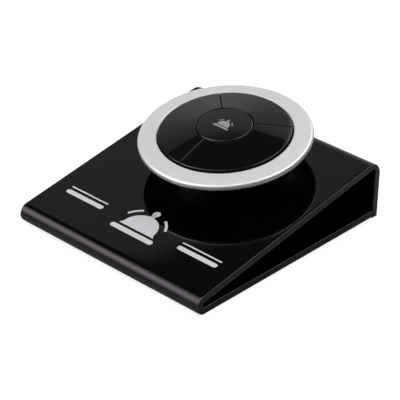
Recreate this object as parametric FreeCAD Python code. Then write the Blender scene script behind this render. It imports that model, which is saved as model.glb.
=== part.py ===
"""Wireless waiter call button with four keys, taped onto a stand folded from one acrylic sheet.

Units are millimetres. +Z is up, the front fold is towards -Y and the object is centred on X = 0.
It stands on Z = 0 at the middle of its bounding box.

The button is modelled in a frame of its own: its Z axis is the outward normal of the sloping plate,
its origin lies on the plate and its Y axis points up the slope. seat() carries it to its place.
Heights in that frame are above the plate. The cell sets the height of the casing, and the board
hangs as far below the key deck as its switches need.
"""
import math
import os

import FreeCAD
import Part

V = FreeCAD.Vector

# ---------------------------------------------------------------- driving dimensions: the stand
stand_width = 95.0
sheet_thickness = 3.0
plate_slope = 10.45               # degrees, plate against the table
plate_length = 106.3              # outer face, from the front fold to the corner of the rear bend
fold_inner_radius = 1.1
rear_bend_outer_radius = 6.5      # the heated sheet thins on the outside of this bend
rear_bend_inner_radius = 1.5
wall_lean = 2.8                   # degrees, the foot of the rear wall lies behind its top
base_lift = 0.58                  # rear end of the bottom plate above the table
butt_gap = 0.15                   # between the bottom plate's end and the rear wall
sheet_edge_chamfer = 0.25

# ---------------------------------------------------------------- driving dimensions: the casing
button_position = 67.1            # up the slope, from the front fold to the button's axis
pad_thickness = 1.0
pad_rim_gap = 0.3                 # between the pads and the foot rim round them
pad_door_gap = 0.5                # between the pads and the battery door
foot_radius = 24.1
foot_rim_width = 1.5
foot_clearance = 0.2              # foot rim above the plate
foot_height = 1.4                 # straight part of the foot
floor_thickness = 1.6
housing_wall = 1.8
flange_lip = 1.3                  # flange beyond the end of the flare
flange_setback = 0.5              # edge of the flange inside the ring's edge
flange_thickness = 1.0
post_height = 1.8                 # screw posts above the floor

ring_inner_radius = 27.35
ring_width = 7.85
ring_side_height = 1.8            # outer edge of the ring's top face above its base
ring_rise = 0.9                   # inner edge of the top face above the outer edge
ring_wall = 1.5
ring_edge_radius = 1.2
ring_chamfer = 0.35
ring_fit = 0.1                    # between the ring and the deck inside it
ring_peg_angles = (45.0, 135.0, 225.0, 315.0)
ring_peg_radius = 0.8
ring_peg_clearance = 0.1          # round the ring's pegs, and between them and the flange below

deck_thickness = 1.2
deck_drop = 0.3                   # deck's top below the ring's base
deck_web = 1.2                    # upright web that joins the deck to its rim
deck_fit = 0.2                    # between the deck and the mouth of the housing
deck_switch_gap = 0.6             # between the switches and the deck over them

# ---------------------------------------------------------------- driving dimensions: the keys
key_gap = 0.35                    # between neighbouring keys, and round the centre button
key_ring_gap = 0.5
key_proud = 0.7                   # outer edge of a key above the ring's inner edge
key_rise = 2.8                    # inner edge of a key above its outer edge
key_wall = 1.5
key_skirt = 1.2
key_edge_radius = 0.35
key_travel = 0.5
key_float = 0.2                   # left between a key's skirt and the deck when it is pressed
seam_angles = (42.0, 136.0, 270.0)

centre_radius = 11.3
centre_crown = 0.35               # middle of the centre button above its rim, which is level with the keys
centre_edge_radius = 0.5
centre_wall = 1.4

stem_radius = 1.8
stem_hole_clearance = 0.7
hook_width = 3.0
hook_thickness = 1.2
hook_reach = 0.6
hook_length = 1.6                 # below the deck
hook_clearance = 0.25
hook_play = 0.05                  # between a hook and the deck at rest
key_hook_inset = 1.8              # between a key's skirt and its hooks
centre_hook_inset = 0.7
top_hook_angles = (62.0, 118.0)
left_hook_angles = (185.0, 240.0)
right_hook_angles = (-5.0, -60.0)
centre_hook_angles = (90.0, 196.0, -16.0)

# ---------------------------------------------------------------- driving dimensions: inside
cell_radius = 4.0
cell_length = 28.2
cell_gap = 0.2
cell_headroom = 0.4               # between the cell and the deck over it
cell_nub_radius = 1.8
cell_nub_length = 1.2
bay_wall = 1.0
bay_rise = 2.0                    # walls of the bay above the cell's axis
contact_thickness = 0.4
contact_side_gap = 0.5
spring_depth = 1.6                # room that the negative contact takes, leaf and all
spring_rise = 2.0                 # ends of the leaf above and below the cell's axis
spring_width = 4.0
spring_flat = 0.4                 # half of the leaf's flat tip
door_lip = 0.8
door_step = 0.8
door_clearance = 0.15
groove_radius = 0.8
groove_inset = 2.0                # finger groove from the door's end

board_thickness = 1.6
board_wall_gap = 0.6              # between the board and the housing round it
board_front_gap = 0.3             # between the board's straight front edge and the cell's bay
board_front_margin = 0.5          # board in front of the centre switch
board_notch_gap = 0.5

switch_size = 6.0
switch_body_height = 3.4
switch_cover_thickness = 0.2
switch_inset = 1.8                # between the board's edge and the outer switches
side_switch_y = 1.5
plunger_radius = 1.7
plunger_gap = 0.2
plunger_proud = 1.4               # top of a plunger above its switch's cover
plunger_depth = 1.2               # how far a plunger reaches below that cover's top

screw_radius = 1.05
screw_clearance = 0.2
screw_length = 8.0
screw_head_radius = 1.9
screw_head_height = 1.3
screw_recess_clearance = 0.25
housing_screw_angles = (30.0, 150.0, 270.0)
housing_boss_radius = 2.6
boss_wall_gap = 0.1               # between the deck's bosses and the housing round them

board_screw_radius = 0.9
board_screw_length = 4.6
board_screw_head_radius = 1.7
board_screw_head_height = 1.1
board_screw_margin = 0.6          # board left round a screw's head
board_screw_angles = (62.0, 118.0)
board_screw_x = 9.0
board_boss_radius = 2.0

cross_width = 0.3                 # cross slot of a screw, as a share of its head's radius
cross_length = 1.2
cross_depth = 0.5                 # as a share of the head's height

# ---------------------------------------------------------------- driving dimensions: on the board
encoder_size = (4.9, 3.9, 1.5)
encoder_place = (-8.0, 8.2)
encoder_lead_pitch = 1.27
encoder_lead_width = 0.4
encoder_lead_reach = 1.0
encoder_lead_height = 0.4
resonator_size = (5.0, 3.5, 1.4)
resonator_place = (6.2, 6.0)
transistor_size = (1.3, 2.9, 1.0)
transistor_place = (10.8, 4.4)
transistor_lead_width = 0.4
transistor_lead_reach = 0.7
transistor_lead_height = 0.3
transistor_leads = ((-1, 0.0), (1, 0.95), (1, -0.95))     # side, and y along the body
capacitor_foot = (4.3, 4.3, 0.6)
capacitor_radius = 2.0
capacitor_height = 3.4
capacitor_place = (-8.0, 2.95)
passive_size = (2.0, 1.25, 0.6)
passive_places = ((-3.6, 4.6), (-3.6, 6.6), (-12.6, 5.2), (-12.6, 7.2),
                  (0.2, 12.6), (3.2, 9.6), (-3.8, 12.6))
aerial_wire_radius = 0.4
aerial_bend_radius = 14.0
aerial_lift = 1.6
aerial_start = 36.0               # degrees round the button's axis
aerial_end = 74.0

# ---------------------------------------------------------------- sizes that follow from them
slope = math.radians(plate_slope)
lean = math.radians(wall_lean)
fold_outer_radius = fold_inner_radius + sheet_thickness

floor_top = pad_thickness + floor_thickness
foot_top = foot_clearance + foot_height
recess_radius = foot_radius - foot_rim_width
cell_height = floor_top + cell_gap + cell_radius
deck_bottom = cell_height + cell_radius + cell_headroom
deck_top = deck_bottom + deck_thickness
ring_outer_radius = ring_inner_radius + ring_width
ring_base = deck_top + deck_drop
ring_outer_height = ring_base + ring_side_height
ring_inner_height = ring_outer_height + ring_rise
flange_bottom = ring_base - flange_thickness
flange_radius = ring_outer_radius - flange_setback
shoulder_radius = flange_radius - flange_lip
mouth_bottom = deck_bottom - deck_fit
mouth_radius = ring_inner_radius + deck_web + deck_fit

key_outer_radius = ring_inner_radius - key_ring_gap
key_inner_radius = centre_radius + key_gap
key_outer_height = ring_inner_height + key_proud
key_inner_height = key_outer_height + key_rise
centre_height = key_inner_height + centre_crown
skirt_bottom = deck_top + key_travel + key_float

switch_top = deck_bottom - deck_switch_gap
board_top = switch_top - switch_cover_thickness - switch_body_height
board_bottom = board_top - board_thickness
plunger_top = switch_top + plunger_proud
plunger_bottom = switch_top - plunger_depth
well_bottom = plunger_bottom - key_travel - plunger_gap

bay_half_width = cell_radius + cell_gap
bay_left = -cell_length / 2 - spring_depth
bay_right = cell_length / 2 + cell_nub_length + contact_thickness
bay_length = bay_right - bay_left
bay_middle = (bay_right + bay_left) / 2
bay_top = cell_height + bay_rise
board_front_y = -switch_size / 2 - board_front_margin
cell_y = board_front_y - board_front_gap - bay_wall - bay_half_width

post_top = floor_top + post_height
screw_seat = pad_thickness + screw_head_height
screw_tip = screw_seat + screw_length


# ---------------------------------------------------------------- helpers
def line(a, b):
    return Part.LineSegment(a, b).toShape()


def arc(a, middle, b):
    return Part.Arc(a, middle, b).toShape()


def polygon_face(points):
    """Flat face with straight sides through points, which are vectors."""
    return Part.Face(Part.makePolygon(list(points) + [points[0]]))


def turned(points):
    """Solid of revolution about the button's axis from a closed (radius, height) outline."""
    face = polygon_face([V(r, 0, h) for r, h in points])
    return face.revolve(V(0, 0, 0), V(0, 0, 1), 360)


def cylinder(radius, bottom, top, x=0.0, y=0.0):
    return Part.makeCylinder(radius, top - bottom, V(x, y, bottom))


def block(x, y, width, depth, bottom, top):
    """Upright box centred on (x, y)."""
    return Part.makeBox(width, depth, top - bottom, V(x - width / 2, y - depth / 2, bottom))


def joined(first, *others):
    return first.multiFuse(list(others)).removeSplitter()


def less(body, *tools):
    return body.cut(Part.makeCompound(list(tools)))


def polar(radius, angle):
    """(x, y) at an angle in degrees round the button's axis."""
    return radius * math.cos(math.radians(angle)), radius * math.sin(math.radians(angle))


def spun(shape, angle):
    """Copy of shape, turned about the button's axis."""
    copy = shape.copy()
    copy.rotate(V(0, 0, 0), V(0, 0, 1), angle)
    return copy


def rims_at(solid, height):
    """Level edges of a solid at a height."""
    return [e for e in solid.Edges if abs(e.BoundBox.ZMin - height) < 1e-6 and e.BoundBox.ZLength < 1e-6]


# ---------------------------------------------------------------- the stand
def stand_geometry():
    """Points and directions of the sheet's section, with the fold's front at y = 0."""
    along = V(0, math.cos(slope), math.sin(slope))
    normal = V(0, -math.sin(slope), math.cos(slope))
    down = V(0, math.sin(lean), -math.cos(lean))
    outward = V(0, math.cos(lean), math.sin(lean))
    fold_centre = V(0, fold_outer_radius, fold_outer_radius)
    plate_start = fold_centre + normal * fold_outer_radius
    corner = plate_start + along * plate_length
    return along, normal, down, outward, fold_centre, plate_start, corner


def stand_depth():
    """Front of the fold to the rear edge of the wall's end."""
    corner = stand_geometry()[-1]
    return corner.y + corner.z * math.tan(lean)


def stand_sheet():
    """One acrylic sheet: bottom plate, tight front fold, sloping plate, rear bend and wall."""
    along, normal, down, outward, fold_centre, plate_start, corner = stand_geometry()
    turn = math.radians(90) + slope - lean
    half_tangent = math.tan(turn / 2)

    wall_end_outer = corner + down * (corner.z / math.cos(lean))
    wall_end_inner = wall_end_outer - V(0, sheet_thickness / math.cos(lean), 0)

    # the plate's and the wall's inner faces meet at inner_corner
    inner_start = plate_start - normal * sheet_thickness
    to_wall = (corner - outward * sheet_thickness - inner_start).dot(outward)
    inner_corner = inner_start + along * (to_wall / along.dot(outward))

    # the bottom plate rises by base_lift to its rear end
    reach = wall_end_inner.y - fold_outer_radius
    rise = math.atan2(base_lift, reach)
    base = V(0, math.cos(rise), math.sin(rise))
    base_up = V(0, -math.sin(rise), math.cos(rise))
    lower_start = fold_centre - base_up * fold_outer_radius
    upper_start = fold_centre - base_up * fold_inner_radius
    base_length = reach - butt_gap - sheet_thickness * math.tan(lean) - sheet_thickness * math.sin(rise)
    lower_end = lower_start + base * base_length
    upper_end = upper_start + base * base_length

    front = V(0, -1, 0)
    bend_outer = rear_bend_outer_radius * half_tangent
    bend_inner = rear_bend_inner_radius * half_tangent
    bisector = (outward + normal).normalize()
    outer_bend_centre = corner - bisector * (rear_bend_outer_radius / math.cos(turn / 2))
    inner_bend_centre = inner_corner - bisector * (rear_bend_inner_radius / math.cos(turn / 2))
    edges = [
        line(lower_end, lower_start),
        arc(lower_start, fold_centre + front * fold_outer_radius, plate_start),
        line(plate_start, corner - along * bend_outer),
        arc(corner - along * bend_outer, outer_bend_centre + bisector * rear_bend_outer_radius,
            corner + down * bend_outer),
        line(corner + down * bend_outer, wall_end_outer),
        line(wall_end_outer, wall_end_inner),
        line(wall_end_inner, inner_corner + down * bend_inner),
        arc(inner_corner + down * bend_inner, inner_bend_centre + bisector * rear_bend_inner_radius,
            inner_corner - along * bend_inner),
        line(inner_corner - along * bend_inner, inner_start),
        arc(inner_start, fold_centre + front * fold_inner_radius, upper_start),
        line(upper_start, upper_end),
        line(upper_end, lower_end),
    ]
    section = Part.Face(Part.Wire(edges))
    section.translate(V(-stand_width / 2, 0, 0))
    sheet = section.extrude(V(stand_width, 0, 0))
    rims = [e for e in sheet.Edges
            if e.BoundBox.XLength < 1e-6 and abs(abs(e.BoundBox.XMin) - stand_width / 2) < 1e-6]
    sheet = sheet.makeChamfer(sheet_edge_chamfer, rims)
    sheet.translate(V(0, -stand_depth() / 2, 0))
    return sheet


def seat(shape):
    """Carry a shape from the button's own frame onto the sloping plate."""
    along, _, _, _, _, plate_start, _ = stand_geometry()
    origin = plate_start + along * button_position - V(0, stand_depth() / 2, 0)
    placement = FreeCAD.Placement(origin, FreeCAD.Rotation(V(1, 0, 0), plate_slope))
    return shape.transformed(placement.toMatrix(), copy=True)


# ---------------------------------------------------------------- casing
def flared_form(foot, top):
    """Solid that stands upright on the plate up to foot_top and flares to the shoulder at top.

    The flare is a quarter of an ellipse, upright at the foot and level at the shoulder.
    """
    flare = Part.BezierCurve()
    flare.setPoles([V(foot, 0, foot_top), V(foot, 0, top), V(shoulder_radius, 0, top)])
    flare.setWeight(2, math.sqrt(0.5))
    outline = Part.Wire([
        line(V(0, 0, 0), V(foot, 0, 0)),
        line(V(foot, 0, 0), V(foot, 0, foot_top)),
        flare.toShape(),
        line(V(shoulder_radius, 0, top), V(0, 0, top)),
        line(V(0, 0, top), V(0, 0, 0)),
    ])
    return Part.Face(outline).revolve(V(0, 0, 0), V(0, 0, 1), 360)


def room_radius(height):
    """Radius of the room inside the housing at a height."""
    width = shoulder_radius - foot_radius + housing_wall
    rise = flange_bottom + housing_wall - foot_top
    share = max(height - foot_top, 0.0) / rise
    return shoulder_radius - width * math.sqrt(1 - share ** 2)


def board_radius():
    return room_radius(board_bottom) - board_wall_gap


def housing_screw_places():
    circle = room_radius(post_top) - housing_boss_radius - boss_wall_gap
    return [polar(circle, angle) for angle in housing_screw_angles]


def board_screw_places():
    """Two screws at the board's rear edge and two behind its straight front edge."""
    circle = board_radius() - board_screw_head_radius - board_screw_margin
    front_y = board_front_y + board_screw_head_radius + board_screw_margin
    return [polar(circle, angle) for angle in board_screw_angles] + [
        (board_screw_x, front_y), (-board_screw_x, front_y)]


def lower_housing():
    """Flared shell with a floor, a recess for the pads, screw posts, board bosses and a cell bay."""
    flange = cylinder(flange_radius, flange_bottom, ring_base)
    outside = joined(flared_form(foot_radius, flange_bottom), flange)
    inside = flared_form(foot_radius - housing_wall, flange_bottom + housing_wall)
    shell = less(outside,
                 inside.common(cylinder(ring_outer_radius, floor_top, mouth_bottom)),
                 cylinder(mouth_radius, mouth_bottom, ring_base),
                 cylinder(foot_radius, 0, foot_clearance),
                 cylinder(recess_radius, 0, pad_thickness))
    posts = [cylinder(housing_boss_radius, pad_thickness, post_top, x, y) for x, y in housing_screw_places()]
    bosses = [cylinder(board_boss_radius, pad_thickness, board_bottom, x, y) for x, y in board_screw_places()]
    walls = block(bay_middle, cell_y, bay_length + 2 * bay_wall, 2 * (bay_half_width + bay_wall),
                  pad_thickness, bay_top)
    cuts = [block(bay_middle, cell_y, bay_length, 2 * bay_half_width, 0, deck_bottom), door_plate(0.0)]
    for x, y in housing_screw_places():
        cuts.append(cylinder(screw_radius + screw_clearance, 0, board_top, x, y))
        cuts.append(cylinder(screw_head_radius + screw_recess_clearance, 0, screw_seat, x, y))
    for x, y in board_screw_places():
        cuts.append(cylinder(board_screw_radius, board_top - board_screw_length, board_top, x, y))
    return less(joined(shell, walls.common(outside), *posts, *bosses), *cuts)


def door_plate(clearance):
    """Stepped plate in the floor under the cell; with no clearance it is the hole for the door."""
    length = bay_length - 2 * clearance
    width = 2 * bay_half_width - 2 * clearance
    outer = block(bay_middle, cell_y, length + 2 * door_lip, width + 2 * door_lip,
                  pad_thickness, pad_thickness + door_step - clearance)
    inner = block(bay_middle, cell_y, length, width, pad_thickness, floor_top)
    return joined(outer, inner)


def battery_door():
    """Snap-in door with a finger groove across one end."""
    length = 2 * (bay_half_width - groove_radius)
    start = V(bay_right - groove_inset, cell_y - length / 2, pad_thickness)
    groove = Part.makeCylinder(groove_radius, length, start, V(0, 1, 0))
    return less(door_plate(door_clearance), groove)


def adhesive_pads():
    """Two pads of double-sided foam tape, behind and in front of the battery door."""
    disc = cylinder(recess_radius - pad_rim_gap, 0, pad_thickness)
    strip = 2 * (bay_half_width + door_lip + pad_door_gap)
    return less(disc, block(0, cell_y, 3 * recess_radius, strip, -1, pad_thickness + 1)).Solids


def ring_top(radius):
    """Height of the ring's sloping top face at a radius."""
    return ring_inner_height - ring_rise * (radius - ring_inner_radius) / ring_width


def ring_pegs(radius, bottom):
    """Pegs from the ring's underside down through the deck's rim, or the holes for them."""
    circle = (mouth_radius + ring_outer_radius - ring_wall) / 2
    return [cylinder(radius, bottom, ring_top(circle) - ring_wall / 2, *polar(circle, angle))
            for angle in ring_peg_angles]


def ring_bezel():
    """Silver ring: a sloping flange with a rounded outer edge, a skirt and pegs under it."""
    skirt = ring_outer_radius - ring_wall
    ring = turned([
        (ring_inner_radius, ring_inner_height - ring_chamfer),
        (ring_inner_radius + ring_chamfer, ring_top(ring_inner_radius + ring_chamfer)),
        (ring_outer_radius, ring_outer_height),
        (ring_outer_radius, ring_base),
        (skirt, ring_base),
        (skirt, ring_top(skirt) - ring_wall),
        (ring_inner_radius, ring_inner_height - ring_wall),
    ])
    ring = ring.makeFillet(ring_edge_radius, rims_at(ring, ring_outer_height))
    return joined(ring, *ring_pegs(ring_peg_radius, ring_base + ring_peg_clearance))


def key_hooks():
    """(radius, angle) of every snap hook, by key."""
    outer = key_outer_radius - key_skirt - key_hook_inset - hook_thickness
    inner = centre_radius - centre_wall - centre_hook_inset - hook_thickness
    return {
        "top_key": [(outer, angle) for angle in top_hook_angles],
        "left_key": [(outer, angle) for angle in left_hook_angles],
        "right_key": [(outer, angle) for angle in right_hook_angles],
        "centre_button": [(inner, angle) for angle in centre_hook_angles],
    }


def switch_places():
    """(x, y) of every key's switch, with the key's stem over it."""
    reach = board_radius() - switch_inset - switch_size / 2
    return {
        "top_key": (0.0, reach),
        "left_key": (-reach, side_switch_y),
        "right_key": (reach, side_switch_y),
        "centre_button": (0.0, 0.0),
    }


def key_deck():
    """Frame inside: a plate with holes for stems and hooks, a rim under the ring, screw bosses."""
    rim = ring_outer_radius - ring_wall - ring_fit
    under = ring_wall + ring_fit
    deck = turned([
        (0, deck_bottom),
        (mouth_radius - deck_fit, deck_bottom),
        (mouth_radius - deck_fit, ring_base),
        (rim, ring_base),
        (rim, ring_top(rim) - under),
        (ring_inner_radius, ring_inner_height - under),
        (ring_inner_radius, deck_top),
        (0, deck_top),
    ])
    bosses = [cylinder(housing_boss_radius, post_top, deck_bottom, x, y) for x, y in housing_screw_places()]
    cuts = []
    for x, y in switch_places().values():
        cuts.append(cylinder(stem_radius + stem_hole_clearance, deck_bottom, deck_top, x, y))
    for places in key_hooks().values():
        for radius, angle in places:
            slot = block(radius + hook_thickness / 2, 0, hook_thickness + 2 * hook_clearance,
                         hook_width + 2 * hook_clearance, deck_bottom, deck_top)
            cuts.append(spun(slot, angle))
    for x, y in housing_screw_places():
        cuts.append(cylinder(screw_radius, post_top, screw_tip, x, y))
    cuts += ring_pegs(ring_peg_radius + ring_peg_clearance, ring_base)
    return less(joined(deck, *bosses), *cuts)


# ---------------------------------------------------------------- keys
def sector_wedge(start, end, inset):
    """Tall prism between two radial planes, each moved inwards by inset."""
    wedge = Part.makeCylinder(2 * ring_outer_radius, 2 * centre_height, V(0, 0, 0), V(0, 0, 1), end - start)
    wedge = spun(wedge, start)
    apex = inset / math.sin(math.radians(end - start) / 2)
    x, y = polar(apex, (start + end) / 2)
    wedge.translate(V(x, y, 0))
    return wedge


def key_cone(radius):
    """Height of the keys' conical top face at a radius."""
    share = (radius - key_inner_radius) / (key_outer_radius - key_inner_radius)
    return key_inner_height - share * key_rise


def key_body(inner, outer, drop, bottom):
    """Ring under the keys' cone, with its top lowered by drop."""
    return turned([
        (inner, bottom),
        (outer, bottom),
        (outer, key_cone(outer) - drop),
        (inner, key_cone(inner) - drop),
    ])


def snap_hook(radius, angle, top):
    """Leg through the deck with a barb under it, on the leg's outer side."""
    tip = deck_bottom - hook_length
    leg = block(radius + hook_thickness / 2, 0, hook_thickness, hook_width, tip, top)
    barb_top = deck_bottom - hook_play
    x = radius + hook_thickness
    barb = polygon_face([
        V(x, -hook_width / 2, barb_top),
        V(x + hook_reach, -hook_width / 2, barb_top),
        V(x, -hook_width / 2, tip),
    ]).extrude(V(0, hook_width, 0))
    return spun(joined(leg, barb), angle)


def sector_key(name, start, end):
    """Hollow glossy cap between two seams, with its stem and snap hooks."""
    cap = key_body(key_inner_radius, key_outer_radius, 0, skirt_bottom)
    cap = cap.common(sector_wedge(start, end, key_gap / 2))
    lowest = key_outer_height - 1e-6
    rim = [e for e in cap.Edges if min(v.Point.z for v in e.Vertexes) > lowest]
    cap = cap.makeFillet(key_edge_radius, rim)
    hollow = key_body(key_inner_radius + key_skirt, key_outer_radius - key_skirt, key_wall, deck_top)
    cap = cap.cut(hollow.common(sector_wedge(start, end, key_gap / 2 + key_skirt)))

    x, y = switch_places()[name]
    stem = cylinder(stem_radius, plunger_top, key_cone(math.hypot(x, y)) - key_wall / 2, x, y)
    hooks = [snap_hook(radius, angle, key_cone(radius + hook_thickness) - key_wall / 2)
             for radius, angle in key_hooks()[name]]
    return joined(cap, stem, *hooks)


def centre_button():
    """Satin round cap with a low crown and a rounded rim, its stem and three snap hooks."""
    crown_radius = (centre_radius ** 2 + centre_crown ** 2) / (2 * centre_crown)
    crown = Part.makeSphere(crown_radius, V(0, 0, centre_height - crown_radius))
    cap = cylinder(centre_radius, skirt_bottom, centre_height).common(crown)
    cap = cap.makeFillet(centre_edge_radius, rims_at(cap, key_inner_height))
    cap = cap.cut(cylinder(centre_radius - centre_wall, deck_top, centre_height - centre_wall))
    stem = cylinder(stem_radius, plunger_top, centre_height - centre_wall / 2)
    hooks = [snap_hook(radius, angle, centre_height - centre_wall / 2)
             for radius, angle in key_hooks()["centre_button"]]
    return joined(cap, stem, *hooks)


# ---------------------------------------------------------------- inside
def circuit_board():
    """D-shaped board with notches for the deck's bosses and holes for its own screws."""
    radius = board_radius()
    board = cylinder(radius, board_bottom, board_top)
    cuts = [block(0, board_front_y - radius, 3 * radius, 2 * radius, 0, deck_top)]
    for x, y in housing_screw_places():
        cuts.append(cylinder(housing_boss_radius + board_notch_gap, 0, deck_top, x, y))
    for x, y in board_screw_places():
        cuts.append(cylinder(board_screw_radius + screw_clearance, 0, deck_top, x, y))
    return less(board, *cuts)


def switch_body(x, y):
    """Moulded body of one tactile switch, with the well that its plunger moves in."""
    body = block(x, y, switch_size, switch_size, board_top, board_top + switch_body_height)
    return less(body, cylinder(plunger_radius + plunger_gap, well_bottom, switch_top, x, y))


def switch_cover(x, y):
    """Pressed steel plate on top of a switch."""
    plate = block(x, y, switch_size, switch_size, board_top + switch_body_height, switch_top)
    return less(plate, cylinder(plunger_radius + plunger_gap, board_top, plunger_top, x, y))


def switch_plunger(x, y):
    return cylinder(plunger_radius, plunger_bottom, plunger_top, x, y)


def battery_cell():
    """12 V cylindrical cell lying along X, with its positive nub."""
    half = cell_length / 2
    can = Part.makeCylinder(cell_radius, cell_length, V(-half, cell_y, cell_height), V(1, 0, 0))
    nub = Part.makeCylinder(cell_nub_radius, cell_nub_length, V(half, cell_y, cell_height), V(1, 0, 0))
    return joined(can, nub)


def contact_blade(x):
    """Flat strip that stands against an end wall of the bay."""
    return block(x, cell_y, contact_thickness, 2 * (bay_half_width - contact_side_gap), floor_top, bay_top)


def plate_contact():
    """Flat contact for the positive nub."""
    return contact_blade(bay_right - contact_thickness / 2)


def spring_contact():
    """Strip with a leaf that bows out to the cell's flat end."""
    wall_face = bay_left + contact_thickness
    tip = -cell_length / 2
    side = cell_y - spring_width / 2
    bow = polygon_face([
        V(wall_face, side, cell_height + spring_rise),
        V(tip, side, cell_height + spring_flat),
        V(tip, side, cell_height - spring_flat),
        V(wall_face, side, cell_height - spring_rise),
    ]).extrude(V(0, spring_width, 0))
    hollow = bow.copy()
    hollow.translate(V(-contact_thickness, 0, 0))
    return joined(contact_blade(bay_left + contact_thickness / 2), bow.cut(hollow))


def pan_screw(radius, length, head_radius, head_height, x, y, head_z, side):
    """Self-tapping screw with a cross slot. Its head bears at head_z and its shank points to side."""
    shank = Part.makeCylinder(radius, length, V(x, y, head_z), V(0, 0, side))
    head = Part.makeCylinder(head_radius, head_height, V(x, y, head_z), V(0, 0, -side))
    top = head_z - side * head_height
    bottom = top + side * head_height * cross_depth
    long = head_radius * cross_length
    thin = head_radius * cross_width
    slots = [block(x, y, width, depth, min(top, bottom), max(top, bottom))
             for width, depth in ((long, thin), (thin, long))]
    return less(joined(shank, head), *slots)


def housing_screws():
    """Three screws from below, through the floor's posts into the deck's bosses."""
    return [pan_screw(screw_radius, screw_length, screw_head_radius, screw_head_height, x, y, screw_seat, 1)
            for x, y in housing_screw_places()]


def board_screws():
    """Four screws that hold the board on the housing's bosses."""
    return [pan_screw(board_screw_radius, board_screw_length, board_screw_head_radius,
                      board_screw_head_height, x, y, board_top, -1) for x, y in board_screw_places()]


def on_board(place, size):
    """Box of (width, depth, height) that stands on the board."""
    width, depth, height = size
    return block(*place, width, depth, board_top, board_top + height)


def encoder_chip():
    """Eight-lead code chip."""
    x, y = encoder_place
    depth = encoder_size[1] + 2 * encoder_lead_reach
    leads = [on_board((x + encoder_lead_pitch * step, y), (encoder_lead_width, depth, encoder_lead_height))
             for step in (-1.5, -0.5, 0.5, 1.5)]
    return joined(on_board(encoder_place, encoder_size), *leads)


def saw_resonator():
    return on_board(resonator_place, resonator_size)


def rf_transistor():
    """Three-lead transistor."""
    x, y = transistor_place
    lead = (2 * transistor_lead_reach, transistor_lead_width, transistor_lead_height)
    leads = [on_board((x + side * transistor_size[0] / 2, y + dy), lead) for side, dy in transistor_leads]
    return joined(on_board(transistor_place, transistor_size), *leads)


def storage_capacitor():
    """Can capacitor on its square foot."""
    can = cylinder(capacitor_radius, board_top, board_top + capacitor_height, *capacitor_place)
    return joined(on_board(capacitor_place, capacitor_foot), can)


def chip_passives():
    """Surface-mounted resistors and capacitors."""
    return [on_board(place, passive_size) for place in passive_places]


def antenna_loop():
    """Bent wire aerial on two feet."""
    lift = board_top + aerial_lift
    circle = Part.makeCircle(aerial_wire_radius, V(aerial_bend_radius, 0, lift), V(0, 1, 0))
    section = Part.Face(Part.Wire(circle))
    section.rotate(V(0, 0, 0), V(0, 0, 1), aerial_start)
    loop = section.revolve(V(0, 0, 0), V(0, 0, 1), aerial_end - aerial_start)
    feet = [cylinder(aerial_wire_radius, board_top, lift, *polar(aerial_bend_radius, angle))
            for angle in (aerial_start, aerial_end)]
    return joined(loop, *feet)


# ---------------------------------------------------------------- all the nodes
def nodes():
    """Every node by name: a solid, or a list of like solids, in the object's frame."""
    switches = switch_places()
    first, second, third = seam_angles
    button = {
        "adhesive_pads": adhesive_pads(),
        "lower_housing": lower_housing(),
        "battery_door": battery_door(),
        "battery_cell": battery_cell(),
        "spring_contact": spring_contact(),
        "plate_contact": plate_contact(),
        "circuit_board": circuit_board(),
        "switch_bodies": [switch_body(*place) for place in switches.values()],
        "switch_covers": [switch_cover(*place) for place in switches.values()],
        "plunger_top": switch_plunger(*switches["top_key"]),
        "plunger_left": switch_plunger(*switches["left_key"]),
        "plunger_right": switch_plunger(*switches["right_key"]),
        "plunger_centre": switch_plunger(*switches["centre_button"]),
        "encoder_chip": encoder_chip(),
        "saw_resonator": saw_resonator(),
        "rf_transistor": rf_transistor(),
        "storage_capacitor": storage_capacitor(),
        "chip_passives": chip_passives(),
        "antenna_loop": antenna_loop(),
        "board_screws": board_screws(),
        "housing_screws": housing_screws(),
        "key_deck": key_deck(),
        "ring_bezel": ring_bezel(),
        "top_key": sector_key("top_key", first, second),
        "left_key": sector_key("left_key", second, third),
        "right_key": sector_key("right_key", third - 360, first),
        "centre_button": centre_button(),
    }
    placed = {"stand_sheet": stand_sheet()}
    for name, shape in button.items():
        solids = shape if isinstance(shape, list) else shape.Solids
        seated = [seat(solid) for solid in solids]
        placed[name] = seated[0] if len(seated) == 1 else Part.makeCompound(seated)
    return placed


os.makedirs("parts", exist_ok=True)
for node, solid in nodes().items():
    solid.exportStep(f"parts/{node}.step")
    print(f"{node}: {len(solid.Solids)} solids, {solid.Volume:.1f} mm3, valid {solid.isValid()}")
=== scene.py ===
"""Looks of a wireless waiter call button on its folded acrylic stand.

Lengths in the script are millimetres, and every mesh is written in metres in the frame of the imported
model: +Z up, the low front fold towards -Y. The button has a frame of its own, whose Z axis is the
outward normal of the sloping plate and whose origin lies on the plate under the button's centre.
"""
import math

import bmesh
import bpy
from mathutils import Matrix, Quaternion, Vector


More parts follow.
